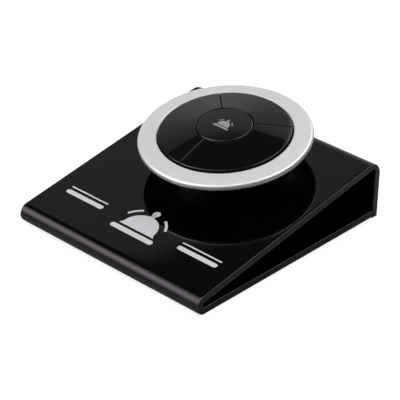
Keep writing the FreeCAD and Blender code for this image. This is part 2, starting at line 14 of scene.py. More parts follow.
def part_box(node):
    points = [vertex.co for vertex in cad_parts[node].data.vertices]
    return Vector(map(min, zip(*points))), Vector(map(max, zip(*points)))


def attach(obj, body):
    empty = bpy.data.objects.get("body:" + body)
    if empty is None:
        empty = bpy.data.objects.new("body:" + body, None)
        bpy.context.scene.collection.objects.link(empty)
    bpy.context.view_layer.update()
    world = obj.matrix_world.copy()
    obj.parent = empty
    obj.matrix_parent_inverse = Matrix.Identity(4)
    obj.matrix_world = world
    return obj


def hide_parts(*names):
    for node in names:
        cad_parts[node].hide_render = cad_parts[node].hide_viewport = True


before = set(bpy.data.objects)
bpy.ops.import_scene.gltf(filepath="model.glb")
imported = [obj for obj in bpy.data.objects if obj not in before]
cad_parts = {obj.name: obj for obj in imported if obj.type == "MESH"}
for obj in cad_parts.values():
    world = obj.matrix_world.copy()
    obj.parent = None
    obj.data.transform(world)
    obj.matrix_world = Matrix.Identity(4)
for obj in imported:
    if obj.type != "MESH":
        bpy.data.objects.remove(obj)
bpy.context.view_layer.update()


# ==================================================================== camera
# A long lens on a table-top stand, level with the top of a till, looking down on the front
# right-hand corner of the stand. The camera was held with a slight tilt.
MM = 0.001                        # metres in a millimetre
camera_aim = Vector((3.03, -4.64, 12.0)) * MM
camera_distance = 711.8 * MM
camera_lens = 161.53
film_width = 36.0
nearest_seen = 10.0 * MM
camera_azimuth = math.radians(40.574)
camera_elevation = math.radians(29.633)
camera_roll = math.radians(3.077)


def in_scene(name, data):
    """New object of the data, in the scene."""
    made = bpy.data.objects.new(name, data)
    bpy.context.scene.collection.objects.link(made)
    return made


camera_back = Vector((math.sin(camera_azimuth) * math.cos(camera_elevation),
                      -math.cos(camera_azimuth) * math.cos(camera_elevation),
                      math.sin(camera_elevation)))
camera = in_scene("camera", bpy.data.cameras.new("camera"))
camera.data.lens = camera_lens
camera.data.sensor_width = film_width
camera.data.clip_start = nearest_seen
camera.rotation_mode = "QUATERNION"
camera.rotation_quaternion = camera_back.to_track_quat("Z", "Y") @ Quaternion((0, 0, 1), camera_roll)
camera.location = camera_aim + camera_back * camera_distance
bpy.context.scene.camera = camera


# ==================================================================== stand
# One sheet of 3 mm black acrylic. Its sides are sawn and scraped, its faces keep their factory
# gloss, and it is bent twice over a hot wire: tightly at the front and wider at the rear.
stand_width = 95.0
sheet = 3.0
plate_slope = math.radians(10.45)
plate_length = 106.3
fold_inner_radius = 1.1
rear_bend_outer_radius = 6.5
rear_bend_inner_radius = 1.5
wall_lean = math.radians(2.8)
base_lift = 0.58
butt_gap = 0.15
arris = 0.25
side_support = 1.0                # first edge loop of the faces, from either side
heat_near = 4.0                   # a hot bend's waves keep their full height up to here
heat_far = 16.0                   # and are gone from here on
gloss_normal = 0.3                # a face is glossy while its normal points less to the side than this
scraped_normal = 0.95             # and scraped where it points more to the side than this


def heading(angle):
    """Unit vector in a plane, at an angle in radians."""
    return Vector((math.cos(angle), math.sin(angle)))


def left_of(direction):
    """The direction after a quarter turn to the left."""
    return Vector((-direction.y, direction.x))


fold_outer_radius = fold_inner_radius + sheet
along = heading(plate_slope)
normal = left_of(along)
outward = heading(wall_lean)
down = -left_of(outward)
fold_centre = Vector((fold_outer_radius, fold_outer_radius))
plate_start = fold_centre + normal * fold_outer_radius
plate_corner = plate_start + along * plate_length
stand_depth = plate_corner.x + plate_corner.y * math.tan(wall_lean)


def turn_points(centre, radius, start, end, steps):
    """Points of an arc in a plane, angles in radians."""
    return [centre + heading(start + (end - start) * i / steps) * radius for i in range(steps + 1)]


def with_supports(points, closeness, longest):
    """Adds a point close to each end of every long side, so that flat faces keep their shading."""
    result = []
    for here, there in zip(points, points[1:] + points[:1]):
        result.append(here)
        run = there - here
        if run.length > longest:
            step = run.normalized() * closeness
            result += [here + step, there - step]
    return result


def inset(points, depth):
    """Closed outline moved inwards by depth. It runs anticlockwise."""
    result = []
    count = len(points)
    for i, here in enumerate(points):
        before = left_of((here - points[i - 1]).normalized())
        after = left_of((points[(i + 1) % count] - here).normalized())
        middle = (before + after).normalized()
        result.append(here + middle * (depth / middle.dot(after)))
    return result


def sheet_section():
    """Outline of the bent sheet as (y, z), anticlockwise, with the fold's front at y = 0."""
    turn = math.radians(90) + plate_slope - wall_lean
    bisector = (outward + normal).normalized()
    wall_outer = plate_corner + down * (plate_corner.y / math.cos(wall_lean))
    wall_inner = wall_outer - Vector((sheet / math.cos(wall_lean), 0))
    inner_start = plate_start - normal * sheet
    reach_inner = (plate_corner - outward * sheet - inner_start).dot(outward) / along.dot(outward)
    inner_corner = inner_start + along * reach_inner
    reach = wall_inner.x - fold_outer_radius
    rise = math.atan2(base_lift, reach)
    base = heading(rise)
    base_up = left_of(base)
    base_length = reach - butt_gap - sheet * math.tan(wall_lean) - sheet * math.sin(rise)
    lower_start = fold_centre - base_up * fold_outer_radius
    upper_start = fold_centre - base_up * fold_inner_radius

    outer_centre = plate_corner - bisector * (rear_bend_outer_radius / math.cos(turn / 2))
    inner_centre = inner_corner - bisector * (rear_bend_inner_radius / math.cos(turn / 2))
    plate_angle = math.pi / 2 + plate_slope
    wall_angle = wall_lean
    base_angle = -math.pi / 2 + rise
    points = [lower_start + base * base_length, upper_start + base * base_length]
    points += turn_points(fold_centre, fold_inner_radius, base_angle + 2 * math.pi, plate_angle, steps=24)
    points += turn_points(inner_centre, rear_bend_inner_radius, plate_angle, wall_angle, steps=16)
    points += [wall_inner, wall_outer]
    points += turn_points(outer_centre, rear_bend_outer_radius, wall_angle, plate_angle, steps=32)
    points += turn_points(fold_centre, fold_outer_radius, plate_angle, base_angle + 2 * math.pi, steps=48)
    return points


def band(here, there):
    """Faces between two closed loops of as many corners."""
    count = len(here)
    return [[here[i], here[(i + 1) % count], there[(i + 1) % count], there[i]] for i in range(count)]


def swept_sheet(outline):
    """Closed mesh of the outline along X, with rounded arrises where the sides were scraped."""
    rounds = 4
    edge = [(arris * (1 - math.sin(t)), arris * (1 - math.cos(t)))
            for t in (math.pi / 2 * i / rounds for i in range(rounds + 1))]
    half = stand_width / 2
    rows = [(-half + x, d) for d, x in edge] + [(-half + side_support, 0.0)]
    rows += [(-x, d) for x, d in reversed(rows)]
    verts = []
    for x, depth in rows:
        outline_here = inset(outline, depth) if depth > 0 else outline
        verts += [(x, p.x - stand_depth / 2, p.y) for p in outline_here]
    count = len(outline)
    loops = [range(first, first + count) for first in range(0, len(verts), count)]
    faces = []
    for here, there in zip(loops, loops[1:]):
        faces += band(here, there)
    return verts, faces + [list(loops[0]), list(reversed(loops[-1]))]


class Value:
    """Output of a shader node that can be used in Python arithmetic."""

    def __init__(self, shader, socket):
        self.shader = shader
        self.socket = socket

    def math(self, operation, *values):
        """Math node on shader values and numbers."""
        return self.shader.node("ShaderNodeMath", {"operation": operation}, dict(enumerate(values)))(0)

    def __add__(self, other):
        return self.math("ADD", self, other)

    def __radd__(self, other):
        return self.math("ADD", other, self)

    def __sub__(self, other):
        return self.math("SUBTRACT", self, other)

    def __rsub__(self, other):
        return self.math("SUBTRACT", other, self)

    def __mul__(self, other):
        return self.math("MULTIPLY", self, other)

    def __rmul__(self, other):
        return self.math("MULTIPLY", other, self)

    def __truediv__(self, other):
        return self.math("DIVIDE", self, other)

    def __pow__(self, other):
        return self.math("POWER", self, other)

    def size(self):
        """The value without its sign."""
        return self.math("ABSOLUTE", self)

    def over(self, limit):
        """1 where the value is above the limit, else 0."""
        return self.math("GREATER_THAN", self, limit)

    def between(self, low, high):
        """Smooth step from 0 at low to 1 at high."""
        return self.shader.node("ShaderNodeMapRange", {"interpolation_type": "SMOOTHSTEP"},
                                {"Value": self, "From Min": low, "From Max": high})(0)


class Shader:
    """Node tree of a material or a world."""

    def __init__(self, owner):
        self.owner = owner
        owner.use_nodes = True
        self.tree = owner.node_tree
        self.tree.nodes.clear()

    def node(self, kind, settings=None, inputs=None):
        """Adds a node with its settings and inputs, and returns a function that gives its outputs."""
        made = self.tree.nodes.new(kind)
        for key, value in (settings or {}).items():
            setattr(made, key, value)
        for key, value in (inputs or {}).items():
            if isinstance(value, Value):
                self.tree.links.new(value.socket, made.inputs[key])
            else:
                made.inputs[key].default_value = value
        return lambda key: Value(self, made.outputs[key])

    def axes(self, vector):
        """(x, y, z) of a vector."""
        parts = self.node("ShaderNodeSeparateXYZ", None, {0: vector})
        return parts(0), parts(1), parts(2)


class Finish(Shader):
    """One procedural material, with its grain in millimetres."""

    def __init__(self, name):
        super().__init__(bpy.data.materials.new(name))

    def place(self):
        """Position on the object, in metres."""
        return self.node("ShaderNodeTexCoord")("Object")

    def drawn(self, *scale):
        """Position with its axes scaled, for grain that runs one way."""
        return self.node("ShaderNodeMapping", None, {"Vector": self.place(), "Scale": scale})("Vector")

    def noise(self, grain, detail=2.0, roughness=0.5, vector=None):
        """Noise with a grain in millimetres."""
        return self.node("ShaderNodeTexNoise", None, {
            "Vector": vector or self.place(), "Scale": 1 / (grain * MM),
            "Detail": detail, "Roughness": roughness})("Fac")

    def cells(self, grain, output="Distance"):
        """Voronoi cells of a size in millimetres."""
        return self.node("ShaderNodeTexVoronoi", None, {
            "Vector": self.place(), "Scale": 1 / (grain * MM)})(output)

    def mix(self, share, first, second):
        """Colour between two colours."""
        return self.node("ShaderNodeMix", {"data_type": "RGBA"}, {0: share, 6: first, 7: second})(2)

    def bump(self, height, depth):
        """Normal of a height from 0 to 1 that stands for a depth in millimetres."""
        return self.node("ShaderNodeBump", None, {
            "Height": height, "Distance": depth * MM, "Strength": 1.0})("Normal")

    def close(self, **inputs):
        """Ends the tree in a Principled BSDF; names have _ for a space."""
        named = {key.replace("_", " "): value for key, value in inputs.items()}
        surface = self.node("ShaderNodeBsdfPrincipled", None, named)("BSDF")
        self.node("ShaderNodeOutputMaterial", None, {"Surface": surface})
        return self.owner


def rgb(red, green, blue):
    """Colour that covers fully."""
    return red, green, blue, 1.0


def shown(name, verts, faces, material, body, sharp=35.0, transform=Matrix()):
    """Object from vertices in millimetres, smooth but for edges over the sharp angle."""
    mesh = bpy.data.meshes.new(name)
    mesh.from_pydata([(transform @ Vector(v)) * MM for v in verts], [], faces)
    return dressed(name, mesh, material, body, sharp)


def dressed(name, mesh, material, body, sharp=35.0):
    """Object on a body from a finished mesh, with its normals and its material."""
    tidy = bmesh.new()
    tidy.from_mesh(mesh)
    bmesh.ops.remove_doubles(tidy, verts=tidy.verts, dist=0.0005 * MM)
    bmesh.ops.recalc_face_normals(tidy, faces=tidy.faces)
    tidy.to_mesh(mesh)
    tidy.free()
    mesh.shade_smooth()
    mesh.set_sharp_from_angle(angle=math.radians(sharp))
    mesh.materials.clear()
    mesh.materials.append(material)
    piece = in_scene(name, mesh)
    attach(piece, body)
    return piece


def acrylic():
    """Deep gloss black sheet: it mirrors the room, and is faintly wavy where it was heated."""
    f = Finish("black_acrylic")
    _, y, _ = f.axes(f.place())
    half = stand_depth / 2
    front = 1 - (y + half * MM).between(heat_near * MM, heat_far * MM)
    rear = y.between((half - heat_far) * MM, (half - heat_near) * MM)
    smear = f.noise(9.0, 3.0, 0.6).between(0.45, 0.75)
    color = f.mix(smear, rgb(0.0003, 0.0003, 0.0003), rgb(0.0007, 0.0006, 0.0007))
    waves = f.bump(f.noise(14.0, 1.0) * (0.2 + front + rear), 0.02)
    return f.close(Base_Color=color, Roughness=0.015 + smear * 0.025, Normal=waves, IOR=1.49,
                   Specular_IOR_Level=0.35, Specular_Tint=rgb(1.0, 0.89, 1.0))


def scraped_edge():
    """Sawn and scraped sides of the sheet: matt, with fine strokes along the edge, and painted light."""
    f = Finish("scraped_edge")
    _, y, z = f.axes(f.place())
    stroke = f.noise(0.9, 2.0, vector=f.drawn(1.0, 0.08, 1.0))
    fine = f.noise(0.3, 2.0)
    # Painted light: the sides are lighter towards the rear and higher up, and darkest low at the front.
    behind = y.between(0.2 * stand_depth * MM, 0.5 * stand_depth * MM)
    painted_light_high_rear = behind * 0.6 + z.between(3 * MM, 9 * MM) * 0.4
    color = f.mix(painted_light_high_rear * (0.6 + 0.4 * stroke), rgb(0.0018, 0.0018, 0.0018), rgb(0.012, 0.012, 0.0125))
    return f.close(Base_Color=color, Roughness=0.26 + 0.16 * stroke, Normal=f.bump(fine, 0.01), IOR=1.49,
                   Specular_IOR_Level=0.20, Specular_Tint=rgb(1.0, 0.95, 1.0))


def broken_arris():
    """Arrises taken off with a scraper, which leaves them pale; the pale colour is also a painted
    highlight.
    """
    f = Finish("broken_arris")
    nick = f.noise(1.2, 3.0, 0.7)
    # Painted highlight, in part: the light grey stands for the scraped acrylic and for the line of light
    # along the arrises.
    return f.close(Base_Color=f.mix(nick, rgb(0.03, 0.03, 0.031), rgb(0.09, 0.09, 0.092)),
                   Roughness=0.4 + 0.2 * nick, Normal=f.bump(nick, 0.01))


stand_outline = with_supports(sheet_section(), closeness=0.6, longest=3.0)
stand = shown("acrylic_stand", *swept_sheet(stand_outline), acrylic(), "base", sharp=20.0)
stand.data.materials.append(scraped_edge())
stand.data.materials.append(broken_arris())
for face in stand.data.polygons:
    sideways = abs(face.normal.x)
    face.material_index = 0 if sideways < gloss_normal else 1 if sideways > scraped_normal else 2
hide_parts("stand_sheet")


# ==================================================================== foam pads
# Two cuts of closed-cell foam tape, 1 mm thick, lie in the shallow recess under the foot, behind and
# in front of the battery door. Their glue holds the button on the slope.
def finished(node, material):
    """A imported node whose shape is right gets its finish."""
    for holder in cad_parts[node].material_slots:
        holder.material = material


def foam():
    """Closed-cell foam, pale in the bubbles' walls."""
    f = Finish("foam_tape")
    bubbles = f.cells(0.45)
    color = f.mix(bubbles, rgb(0.60, 0.59, 0.56), rgb(0.86, 0.86, 0.84))
    return f.close(Base_Color=color, Roughness=0.85, Normal=f.bump(bubbles, 0.05))


finished("adhesive_pads", foam())


# ==================================================================== lower housing
# The lower casing is one black ABS moulding with a fine spark-eroded grain: a foot, a flare like a
# trumpet's mouth and a flange that shows as a dark lip under the ring.
def moulded(name, color, grain, depth, rough, gloss=0.5):
    """Plain moulded plastic with a fine grain and faint clouds."""
    f = Finish(name)
    spark = f.noise(grain, 2.0, 0.6)
    cloud = f.noise(11.0, 2.0)
    light = [part * 1.5 + 0.0005 for part in color]
    return f.close(Base_Color=f.mix(cloud, rgb(*color), rgb(*light)),
                   Roughness=rough + 0.12 * spark + 0.05 * cloud, Normal=f.bump(spark, depth),
                   Specular_IOR_Level=gloss, Specular_Tint=rgb(1.0, 0.92, 1.0))


def smooth_copy(node, material, sharp=30.0):
    """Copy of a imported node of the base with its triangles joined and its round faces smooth."""
    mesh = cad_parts[node].data.copy()
    mesh.name = node + "_mesh"
    piece = dressed(node + "_shell", mesh, material, "base", sharp)
    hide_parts(node)


housing_grain = moulded("housing_grain", (0.0008, 0.0007, 0.0009),
                        grain=0.28, depth=0.006, rough=0.2, gloss=0.16)
smooth_copy("lower_housing", housing_grain)


# ==================================================================== battery door
# A thin ABS plate in the floor under the cell, stepped round its edge, with a finger groove across
# one end. It snaps in from below, and its outside is matt.
door_grain = moulded("door_grain", (0.006, 0.006, 0.0065), grain=0.4, depth=0.015, rough=0.5)
smooth_copy("battery_door", door_grain, sharp=25.0)


# ==================================================================== battery cell
# A 12 V alkaline cell, 8 mm by 28 mm: a stack of button cells in a steel can, with a shrunk plastic
# jacket in two plain colours that leaves both ends bare. It lies along X in its bay.
cell_radius = 4.0
cell_length = 28.2
cell_nub_radius = 1.8
cell_nub_length = 1.2
cell_place = Vector((0, -9.0, 6.8))
cell_nub_fillet = 0.15
cell_nub_round = 0.3
cell_shoulder = 0.45              # rounding of the can's ends
jacket_lap = 0.8                  # bare rim of each end inside the jacket
jacket_lip = 0.12                 # how far the jacket stops short of each end
jacket_band = 8.0                 # length of the dark band at the positive end
jacket_line = 0.5                 # place of the pale line, from the band's edge
jacket_line_edge = (0.30, 0.24)   # its ink thins out between these distances from its middle
button_position = 67.1

button_origin = plate_start + along * button_position
seat = (Matrix.Translation((0, button_origin.x - stand_depth / 2, button_origin.y))
        @ Matrix.Rotation(plate_slope, 4, "X"))


def rounded(points, radii, steps=5):
    """Outline with each corner rounded by its own radius. Points are (radius, height)."""
    result = []
    count = len(points)
    for i, (point, radius) in enumerate(zip(points, radii)):
        here = Vector(point)
        if radius == 0:
            result.append(here)
            continue
        to_last = (Vector(points[i - 1]) - here).normalized()
        to_next = (Vector(points[(i + 1) % count]) - here).normalized()
        half = to_last.angle(to_next) / 2
        reach = radius / math.tan(half)
        centre = here + (to_last + to_next).normalized() * (radius / math.sin(half))
        first = here + to_last * reach - centre
        last = here + to_next * reach - centre
        swing = first.angle_signed(last)
        result += [centre + Matrix.Rotation(-swing * k / steps, 2) @ first for k in range(steps + 1)]
    return result


def around(radius, angle, height):
    """Point at a radius and an angle round the Z axis."""
    return radius * math.cos(angle), radius * math.sin(angle), height


def lathe(outline, steps):
    """Vertices and faces of an outline of (radius, height) turned about the Z axis."""
    verts = []
    faces = []
    rows = []
    for radius, height in outline:
        if radius < 1e-6:
            rows.append([len(verts)] * steps)
            verts.append((0, 0, height))
        else:
            rows.append(list(range(len(verts), len(verts) + steps)))
            verts += [around(radius, 2 * math.pi * k / steps, height) for k in range(steps)]
    for here, there in zip(rows, rows[1:] + rows[:1]):
        corners = [list(dict.fromkeys(face)) for face in band(here, there)]
        faces += [face for face in corners if len(face) > 2]
    return verts, faces


def seated_axes(f):
    """(x, y, z) in the button's frame, in millimetres."""
    return f.axes(f.node("ShaderNodeMapping", {"vector_type": "TEXTURE"}, {
        "Vector": f.place(), "Location": seat.to_translation() * MM,
        "Rotation": (plate_slope, 0, 0), "Scale": (MM, MM, MM)})("Vector"))


def cell_jacket():
    """Satin grey jacket with a dark band, a thin pale line between them and bare steel ends."""
    f = Finish("cell_jacket")
    x, _, _ = seated_axes(f)
    half = cell_length / 2
    bare = x.size().over(half - 0.05)
    dark_end = x.over(half - jacket_band)
    line = (x - (half - jacket_band - jacket_line)).size().between(*jacket_line_edge)
    scuff = f.noise(1.4, 3.0, 0.7)
    jacket = f.mix(dark_end, rgb(0.33, 0.34, 0.36), rgb(0.02, 0.02, 0.022))
    jacket = f.mix(line, jacket, rgb(0.7, 0.7, 0.68))
    color = f.mix(bare, jacket, rgb(0.66, 0.65, 0.62))
    return f.close(Base_Color=color, Metallic=0.9 * bare, Roughness=0.28 + 0.15 * scuff,
                   Normal=f.bump(scuff, 0.004))


cell_half = cell_length / 2
jacket_half = cell_half - jacket_lip
bare_radius = cell_radius - jacket_lap
nub_end = cell_half + cell_nub_length
cell_outline = rounded([
    (0, -cell_half), (bare_radius, -cell_half), (bare_radius, -jacket_half), (cell_radius, -jacket_half),
    (cell_radius, jacket_half), (bare_radius, jacket_half), (bare_radius, cell_half),
    (cell_nub_radius, cell_half), (cell_nub_radius, nub_end), (0, nub_end),
], [0, 0, 0, cell_shoulder, cell_shoulder, 0, 0, cell_nub_fillet, cell_nub_round, 0])
lying = seat @ Matrix.Translation(cell_place) @ Matrix.Rotation(math.pi / 2, 4, "Y")
cell = shown("call_button_cell", *lathe(cell_outline, steps=64), cell_jacket(), "base", transform=lying)
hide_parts("battery_cell")


# ==================================================================== cell contacts
# Two blades pressed from nickel-plated spring strip stand against the ends of the bay. One is flat
# for the cell's nub, the other has a leaf that bows out to the cell's flat end.
def nickel():
    """Plated strip with the fine lines that rolling left on it."""
    f = Finish("contact_nickel")
    line = f.noise(0.5, 3.0, 0.7, f.drawn(1.0, 1.0, 0.06))
    return f.close(Base_Color=f.mix(line, rgb(0.60, 0.58, 0.54), rgb(0.76, 0.74, 0.70)), Metallic=1.0,
                   Roughness=0.22 + 0.18 * line, Normal=f.bump(line, 0.004))


contact_finish = nickel()
finished("spring_contact", contact_finish)
finished("plate_contact", contact_finish)


# ==================================================================== circuit board
# A single-sided board of glass fibre and epoxy, routed to a D with notches for the deck's bosses.
# Its faces have a green solder mask over the copper; the routed edge shows the bare laminate.
board_top = 7.0
board_thickness = 1.6
track_pitch = 1.9
mask_edge = (0.04, 0.02)          # bare laminate starts between these depths below each face


def solder_mask():
    """Green mask, lighter over tracks and poured copper, and bare laminate round the edge."""
    f = Finish("board_green")
    x, y, z = seated_axes(f)
    flat = f.node("ShaderNodeCombineXYZ", None, {0: x, 1: y, 2: 0.0})("Vector")
    copper = f.node("ShaderNodeTexBrick", {"offset": 0.5, "squash": 1.0}, {
        "Vector": flat, "Color1": rgb(1, 1, 1), "Color2": rgb(0, 0, 0), "Scale": 1 / track_pitch,
        "Mortar Size": 0.12, "Mortar Smooth": 0.1, "Bias": 0.0,
        "Brick Width": 1.5, "Row Height": 0.6})("Fac")
    pour = f.noise(5.0, 1.0).between(0.44, 0.46)
    track = copper * (1 - pour) + pour
    half = board_thickness / 2
    edge = 1 - (z - (board_top - half)).size().between(half - mask_edge[0], half - mask_edge[1])
    mask = f.mix(track, rgb(0.010, 0.060, 0.028), rgb(0.030, 0.150, 0.062))
    fibre = f.noise(0.25, 2.0, 0.6)
    laminate = f.mix(fibre, rgb(0.30, 0.32, 0.16), rgb(0.48, 0.48, 0.30))
    return f.close(Base_Color=f.mix(edge, mask, laminate), Roughness=0.22 + 0.5 * edge + 0.05 * fibre,
                   Normal=f.bump(track * (1 - edge), 0.03))


finished("circuit_board", solder_mask())


# ==================================================================== tactile switches
# Four 6 mm push switches stand on the board, one under each key: a nylon body with a round well, a
# pressed steel cover held by four melted pips, and feet that reach down its sides to the copper.
switch_size = 6.0
switch_body_height = 3.4
switch_cover_thickness = 0.2
switch_pip_radius = 0.45
switch_pip_inset = 0.95
switch_chamfer = 0.18
switch_foot_width = 0.8
switch_foot_place = 1.2           # of a foot's middle, from the middle of its side
switch_foot_thickness = 0.1
switch_foot_inset = 0.06
switch_cover_inset = 0.05         # the cover is that much smaller than the body on each side
switch_cover_hole = (3.0, 4.5)    # ends of the cutter, beyond both faces of the cover
switch_pip_root = 0.1             # depth of a pip's root in the body
switch_pip_rise = (0.02, 0.12, 0.14)          # of its rim, its shoulder and its crown over the cover
switch_lift = 0.05                # air between a switch's body and the board
well_spare = 0.7                  # depth of the well below a plunger at rest
plunger_radius = 1.7
plunger_gap = 0.2
plunger_top_height = 12.0
plunger_bottom_height = 9.4
plunger_top_round = 0.3
plunger_bottom_round = 0.15


def middle_of(node):
    """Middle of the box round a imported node, in the button's frame."""
    low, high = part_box(node)
    return seat.inverted() @ ((low + high) / 2 / MM)


def pin_outline(radius, bottom, top):
    """Outline of a round pin, or of the hole for one."""
    return [(0, bottom), (radius, bottom), (radius, top), (0, top)]


def upright_block(x, y, width, depth, bottom, top, chamfer=0.0):
    """Block with chamfered edges, as a mesh in millimetres."""
    solid = bmesh.new()
    bmesh.ops.create_cube(solid, size=1.0)
    bmesh.ops.transform(solid, verts=solid.verts, matrix=Matrix.Translation((x, y, (bottom + top) / 2))
                        @ Matrix.Diagonal((width, depth, top - bottom, 1)))
    if chamfer > 0:
        bmesh.ops.bevel(solid, geom=solid.edges[:], offset=chamfer, segments=2, profile=0.6, affect="EDGES")
    return solid


def add_block(solid, *place, chamfer=0.0):
    """Adds a block to a mesh under construction."""
    more = upright_block(*place, chamfer)
    loose = bpy.data.meshes.new("block")
    more.to_mesh(loose)
    more.free()
    solid.from_mesh(loose)
    bpy.data.meshes.remove(loose)


def add_turned(solid, outline, steps, x=0.0, y=0.0):
    """Adds a turned shape to a mesh under construction."""
    verts, faces = lathe(outline, steps)
    made = [solid.verts.new((a + x, b + y, c)) for a, b, c in verts]
    for face in faces:
        solid.faces.new([made[i] for i in face])


def as_object(name, solid):
    """Object from a mesh under construction, which this uses up."""
    mesh = bpy.data.meshes.new(name)
    bmesh.ops.recalc_face_normals(solid, faces=solid.faces)
    solid.to_mesh(mesh)
    solid.free()
    return in_scene(name, mesh)


def plain_mesh(worked):
    """Mesh of an object with its modifiers applied. The object is taken away."""
    mesh = bpy.data.meshes.new_from_object(worked.evaluated_get(bpy.context.evaluated_depsgraph_get()))
    worked.modifiers.clear()
    bpy.data.objects.remove(worked)
    return mesh


def carved(name, solid, cutter):
    """The solid without what the cutter takes away."""
    blank = as_object(name + "_blank", solid)
    knife = as_object(name + "_cutter", cutter)
    cut = blank.modifiers.new("cut", "BOOLEAN")
    cut.object = knife
    cut.solver = "EXACT"
    cut.use_self = True
    mesh = plain_mesh(blank)
    bpy.data.objects.remove(knife)
    return in_scene(name, mesh)


class Jig(Shader):
    """Geometry Nodes tree that sets copies of a piece on points, with its piece, turn, seed and finish as
    named inputs.
    """

    def __init__(self, name):
        self.tree = bpy.data.node_groups.new(name, "GeometryNodeTree")
        self.inlet = self.tree.nodes.new("NodeGroupInput")
        self.tree.interface.new_socket(name="Points", in_out="INPUT", socket_type="NodeSocketGeometry")
        self.tree.interface.new_socket(name="Copies", in_out="OUTPUT", socket_type="NodeSocketGeometry")

    def entry(self, name, kind):
        """New named input of the tree."""
        self.tree.interface.new_socket(name=name, in_out="INPUT", socket_type="NodeSocket" + kind)
        return Value(self, self.inlet.outputs[name])

    def run(self, name, points, **entries):
        """Plain mesh of the copies on points in the button's frame, in metres."""
        spots = bpy.data.meshes.new(name)
        spots.from_pydata([tuple(p) for p in points], [], [])
        holder = in_scene(name, spots)
        modifier = holder.modifiers.new(name, "NODES")
        modifier.node_group = self.tree
        for socket in self.tree.interface.items_tree:
            if socket.in_out == "INPUT" and socket.name in entries:
                modifier[socket.identifier] = entries[socket.name]
        mesh = plain_mesh(holder)
        mesh.transform(Matrix.Scale(MM, 4) @ seat)
        return mesh


def placing_jig():
    """Copies of one piece on points, each turned a little about its own axis."""
    jig = Jig("placing_jig")
    piece = jig.entry("Piece", "Object")
    turn = jig.entry("Turn", "Float")
    seed = jig.entry("Seed", "Int")
    finish = jig.entry("Finish", "Material")
    shape = jig.node("GeometryNodeObjectInfo", {"transform_space": "ORIGINAL"}, {
        "Object": piece})("Geometry")
    angle = jig.node("FunctionNodeRandomValue", {"data_type": "FLOAT"}, {
        2: turn * -1.0, 3: turn, "Seed": seed})(1)
    spin = jig.node("ShaderNodeCombineXYZ", None, {2: angle})("Vector")
    spots = Value(jig, jig.inlet.outputs["Points"])
    copies = jig.node("GeometryNodeInstanceOnPoints", None, {
        "Points": spots, "Instance": shape, "Rotation": spin})("Instances")
    plain = jig.node("GeometryNodeRealizeInstances", None, {"Geometry": copies})("Geometry")
    coated = jig.node("GeometryNodeSetMaterial", None, {"Geometry": plain, "Material": finish})("Geometry")
    jig.node("NodeGroupOutput", None, {"Copies": coated})
    return jig


jig = placing_jig()


def set_out(name, piece, points, finish, turn=0.0, seed=1, node=None):
    """Copies of a piece on points of the button's frame, as one object on the base."""
    mesh = jig.run(name, points, Piece=piece, Turn=turn, Seed=seed, Finish=finish)
    bpy.data.objects.remove(piece)
    group = dressed(name, mesh, finish, "base", sharp=30.0)
    if node:
        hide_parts(node)


keys_and_plungers = {"top_key": "plunger_top", "left_key": "plunger_left",
                     "right_key": "plunger_right", "centre_button": "plunger_centre"}
switch_spots = {}
for key_body, node in keys_and_plungers.items():
    spot = middle_of(node)
    switch_spots[key_body] = Vector((spot.x, spot.y, board_top))

half_switch = switch_size / 2
cover_top = switch_body_height + switch_cover_thickness
well_radius = plunger_radius + plunger_gap
well_depth = board_top + switch_body_height - plunger_bottom_height + well_spare
switch_corners = [(x, y) for x in (-1, 1) for y in (-1, 1)]
pip_place = half_switch - switch_pip_inset
pip_root = switch_body_height - switch_pip_root
pip_rim, pip_shoulder, pip_crown = (cover_top + rise for rise in switch_pip_rise)
pip_outline = [(0, pip_root), (switch_pip_radius, pip_root), (switch_pip_radius, pip_rim),
               (switch_pip_radius * 0.6, pip_shoulder), (0, pip_crown)]
body_block = upright_block(0, 0, switch_size, switch_size, switch_lift, switch_body_height, switch_chamfer)
for x, y in switch_corners:
    add_turned(body_block, pip_outline, steps=16, x=x * pip_place, y=y * pip_place)
well = bmesh.new()
add_turned(well, pin_outline(well_radius, switch_body_height - well_depth, switch_body_height + 1),
           steps=40)
nylon = moulded("switch_nylon", (0.012, 0.012, 0.012), grain=0.35, depth=0.01, rough=0.42)
set_out("tactile_switches", carved("switch_piece", body_block, well), switch_spots.values(), nylon,
        node="switch_bodies")


def pressed_steel(name, color, rough):
    """Thin rolled metal with fine scratches."""
    f = Finish(name)
    scratch = f.noise(0.7, 4.0, 0.75)
    light = [min(1.0, part * 1.2) for part in color]
    return f.close(Base_Color=f.mix(scratch, rgb(*color), rgb(*light)), Metallic=1.0,
                   Roughness=rough + 0.2 * scratch, Normal=f.bump(scratch, 0.003))


cover_side = switch_size - 2 * switch_cover_inset
cover_block = upright_block(0, 0, cover_side, cover_side, switch_body_height, cover_top)
for x, y in switch_corners:
    add_block(cover_block, x * (half_switch - switch_foot_inset), y * switch_foot_place,
              switch_foot_thickness, switch_foot_width, 0.0, cover_top)
hole = bmesh.new()
add_turned(hole, pin_outline(well_radius, *switch_cover_hole), steps=40)
steel = pressed_steel("switch_steel", (0.52, 0.52, 0.51), rough=0.25)
set_out("switch_cover_plates", carved("cover_piece", cover_block, hole), switch_spots.values(), steel,
        node="switch_covers")

acetal = moulded("plunger_acetal", (0.014, 0.014, 0.014), grain=0.5, depth=0.006, rough=0.34)
plunger_outline = rounded(pin_outline(plunger_radius, plunger_bottom_height, plunger_top_height),
                          [0, plunger_bottom_round, plunger_top_round, 0])
for key_body, node in keys_and_plungers.items():
    spot = switch_spots[key_body]
    plunger = shown(node + "_pin", *lathe(plunger_outline, steps=40), acetal, key_body,
                    transform=seat @ Matrix.Translation((spot.x, spot.y, 0)))
    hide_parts(node)


